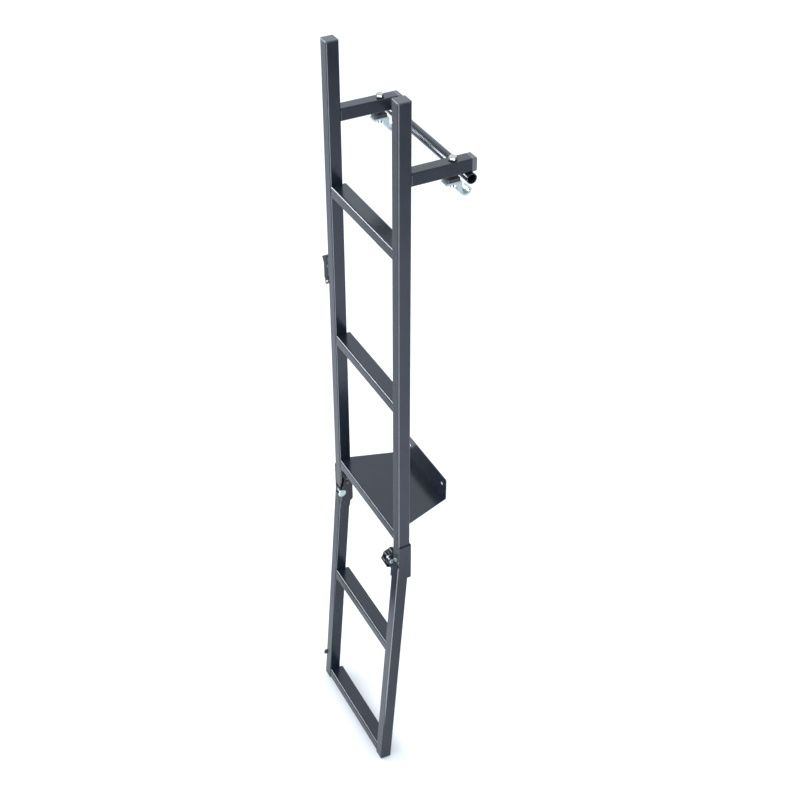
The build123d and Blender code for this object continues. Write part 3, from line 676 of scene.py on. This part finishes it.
# The directions that the boxes of light shine from, and how far above the ladder's middle the top one aims.
FRONT_LEFT = (-0.70, -0.61, 0.36)
FRONT = (-0.1, -1.0, 0.35)
BEHIND_LEFT = (-0.704, 0.365, 0.609)
TOP_AIM = 0.9

FLOOR_HALF = 30.0
FLOOR_GAP = 1 * MM
FLOOR_TONES = ((0.93, 0.93, 0.925), (0.95, 0.95, 0.945))

# The cards that only reflections see are bent round the ladder, centred at this y, a little over the floor.
LADDER_Y = -143 * MM
CARD_GAP = 1 * MM
SECTOR_STEPS = 8

# Name, first and last bearing in degrees, near and far edge in metres, colour, strength.
CARDS = (
    ("left_glow", -110, -63, 0.7, 6.0, COOL, 1.5),
    ("front_grey", -63, -52, 0.4, 6.0, COOL, 0.75),
    ("front_flag", -52, 8, 0.45, 6.0, COOL, 0.0),
    ("corner_glow", 14, 86, 0.28, 6.0, COOL, 11.0),
    ("side_glow", 92, 150, 0.8, 2.6, BLUE, 2.3),
    ("side_flag", 92, 150, 2.6, 6.0, COOL, 0.95),
)

# An upright black card far out in front, on the left: its bearings, distance and height.
HORIZON_BEARINGS = (-54, -15)
HORIZON_REACH = 6.2
HORIZON_HEIGHT = 1.3

CAMERA_PLACE = (1.98228, -1.08863, 1.90397)
CAMERA_AZIMUTH = math.radians(62.628)
CAMERA_DIP = math.radians(37.497)
CAMERA_LENS = 62.97
SENSOR_WIDTH = 36.0


def make_floor():
    """A plain pale floor a little under the ladder's feet."""
    z = cad_low.z - FLOOR_GAP
    corners = [(x * FLOOR_HALF, y * FLOOR_HALF, z) for x, y in ((-1, -1), (1, -1), (1, 1), (-1, 1))]
    mesh = bpy.data.meshes.new("floor")
    mesh.from_pydata(corners, [], [(0, 1, 2, 3)])
    paint = Paint("floor")
    tone = paint.blend(paint.noise(scale=3, detail=3), *FLOOR_TONES)
    matt = paint.spread(paint.noise(scale=5, detail=2), NOISE_BAND, to=(0.85, 0.9))
    mesh.materials.append(paint.finish(tone, matt))
    floor = bpy.data.objects.new("floor", mesh)
    bpy.context.scene.collection.objects.link(floor)


def soft_box(name, aim, direction, distance, size, power):
    """An area light facing the aim point from a direction."""
    light = bpy.data.lights.new(name, "AREA")
    light.shape = "RECTANGLE"
    light.size, light.size_y = size
    light.energy = power
    light.color = COOL
    lamp = bpy.data.objects.new(name, light)
    back = Vector(direction).normalized()
    lamp.location = aim + back * distance
    lamp.rotation_mode = "QUATERNION"
    lamp.rotation_quaternion = (-back).to_track_quat("-Z", "Y")
    lamp.visible_camera = False
    bpy.context.scene.collection.objects.link(lamp)
    return lamp


def reflector(name, corners, colour, strength):
    """A flat card that only reflections see: a bright one glows, one of no strength is a black flag."""
    mesh = bpy.data.meshes.new(name)
    mesh.from_pydata([tuple(corner) for corner in corners], [], [tuple(range(len(corners)))])
    material = bpy.data.materials.new(name)
    material.use_nodes = True
    tree = material.node_tree
    tree.nodes.clear()
    glow = tree.nodes.new("ShaderNodeEmission")
    glow.inputs["Color"].default_value = (*colour, 1.0)
    glow.inputs["Strength"].default_value = strength
    output = tree.nodes.new("ShaderNodeOutputMaterial")
    tree.links.new(glow.outputs["Emission"], output.inputs["Surface"])
    mesh.materials.append(material)
    card = bpy.data.objects.new(name, mesh)
    card.visible_camera = False
    card.visible_diffuse = False
    card.visible_shadow = False
    card.visible_transmission = False
    bpy.context.scene.collection.objects.link(card)


def arc(first, last, reach, height):
    """Points on an arc round the ladder, its bearings from straight ahead of it, +X positive."""
    bearings = [math.radians(first + (last - first) * i / SECTOR_STEPS) for i in range(SECTOR_STEPS + 1)]
    return [Vector((math.sin(b) * reach, LADDER_Y - math.cos(b) * reach, height)) for b in bearings]


def make_lights():
    """Cool light from the front and from above, and cards for the ladder's gloss to show."""
    world = bpy.data.worlds.new("studio")
    world.use_nodes = True
    background = world.node_tree.nodes["Background"]
    background.inputs["Color"].default_value = (*COOL, 1.0)
    background.inputs["Strength"].default_value = WORLD_STRENGTH
    bpy.context.scene.world = world
    middle = (cad_low + cad_high) / 2
    above = middle + Vector((0, 0, TOP_AIM))
    soft_box("front_left_box", middle, FRONT_LEFT, distance=3.0, size=(1.6, 1.2), power=30)
    soft_box("front_box", middle, FRONT, distance=3.2, size=(1.2, 2.2), power=20)
    line_box = soft_box("line_box", middle, FRONT_LEFT, distance=2.9, size=(1.7, 1.1), power=130)
    line_box.visible_diffuse = False
    top_box = soft_box("top_box", above, BEHIND_LEFT, distance=3.4, size=(3.0, 3.0), power=18)
    top_box.visible_diffuse = False
    z = cad_low.z + CARD_GAP
    for name, first, last, near, far, colour, strength in CARDS:
        far_edge = reversed(arc(first, last, far, z))
        reflector(name, [*arc(first, last, near, z), *far_edge], colour, strength)
    foot = arc(*HORIZON_BEARINGS, HORIZON_REACH, z)
    head = reversed(arc(*HORIZON_BEARINGS, HORIZON_REACH, z + HORIZON_HEIGHT))
    reflector("horizon_flag", [*foot, *head], COOL, 0.0)


def make_camera():
    """A long lens above and to the right of the ladder's front, level from side to side."""
    camera_data = bpy.data.cameras.new("camera")
    camera_data.lens = CAMERA_LENS
    camera_data.sensor_width = SENSOR_WIDTH
    camera_data.clip_start = 0.05
    camera_data.clip_end = 100
    camera = bpy.data.objects.new("camera", camera_data)
    camera.location = CAMERA_PLACE
    level = math.cos(CAMERA_DIP)
    back = Vector((math.sin(CAMERA_AZIMUTH) * level, -math.cos(CAMERA_AZIMUTH) * level, math.sin(CAMERA_DIP)))
    camera.rotation_mode = "QUATERNION"
    camera.rotation_quaternion = (-back).to_track_quat("-Z", "Y")
    bpy.context.scene.collection.objects.link(camera)
    bpy.context.scene.camera = camera


make_camera()
make_lights()
make_floor()
dress_cad_nodes()
upper_frame_welds()
lower_section_welds()
for name in SIDES:
    bolt_thread(name)
knob_cap()
lock_spring_coil()

bpy.context.scene.view_settings.view_transform = "Standard"
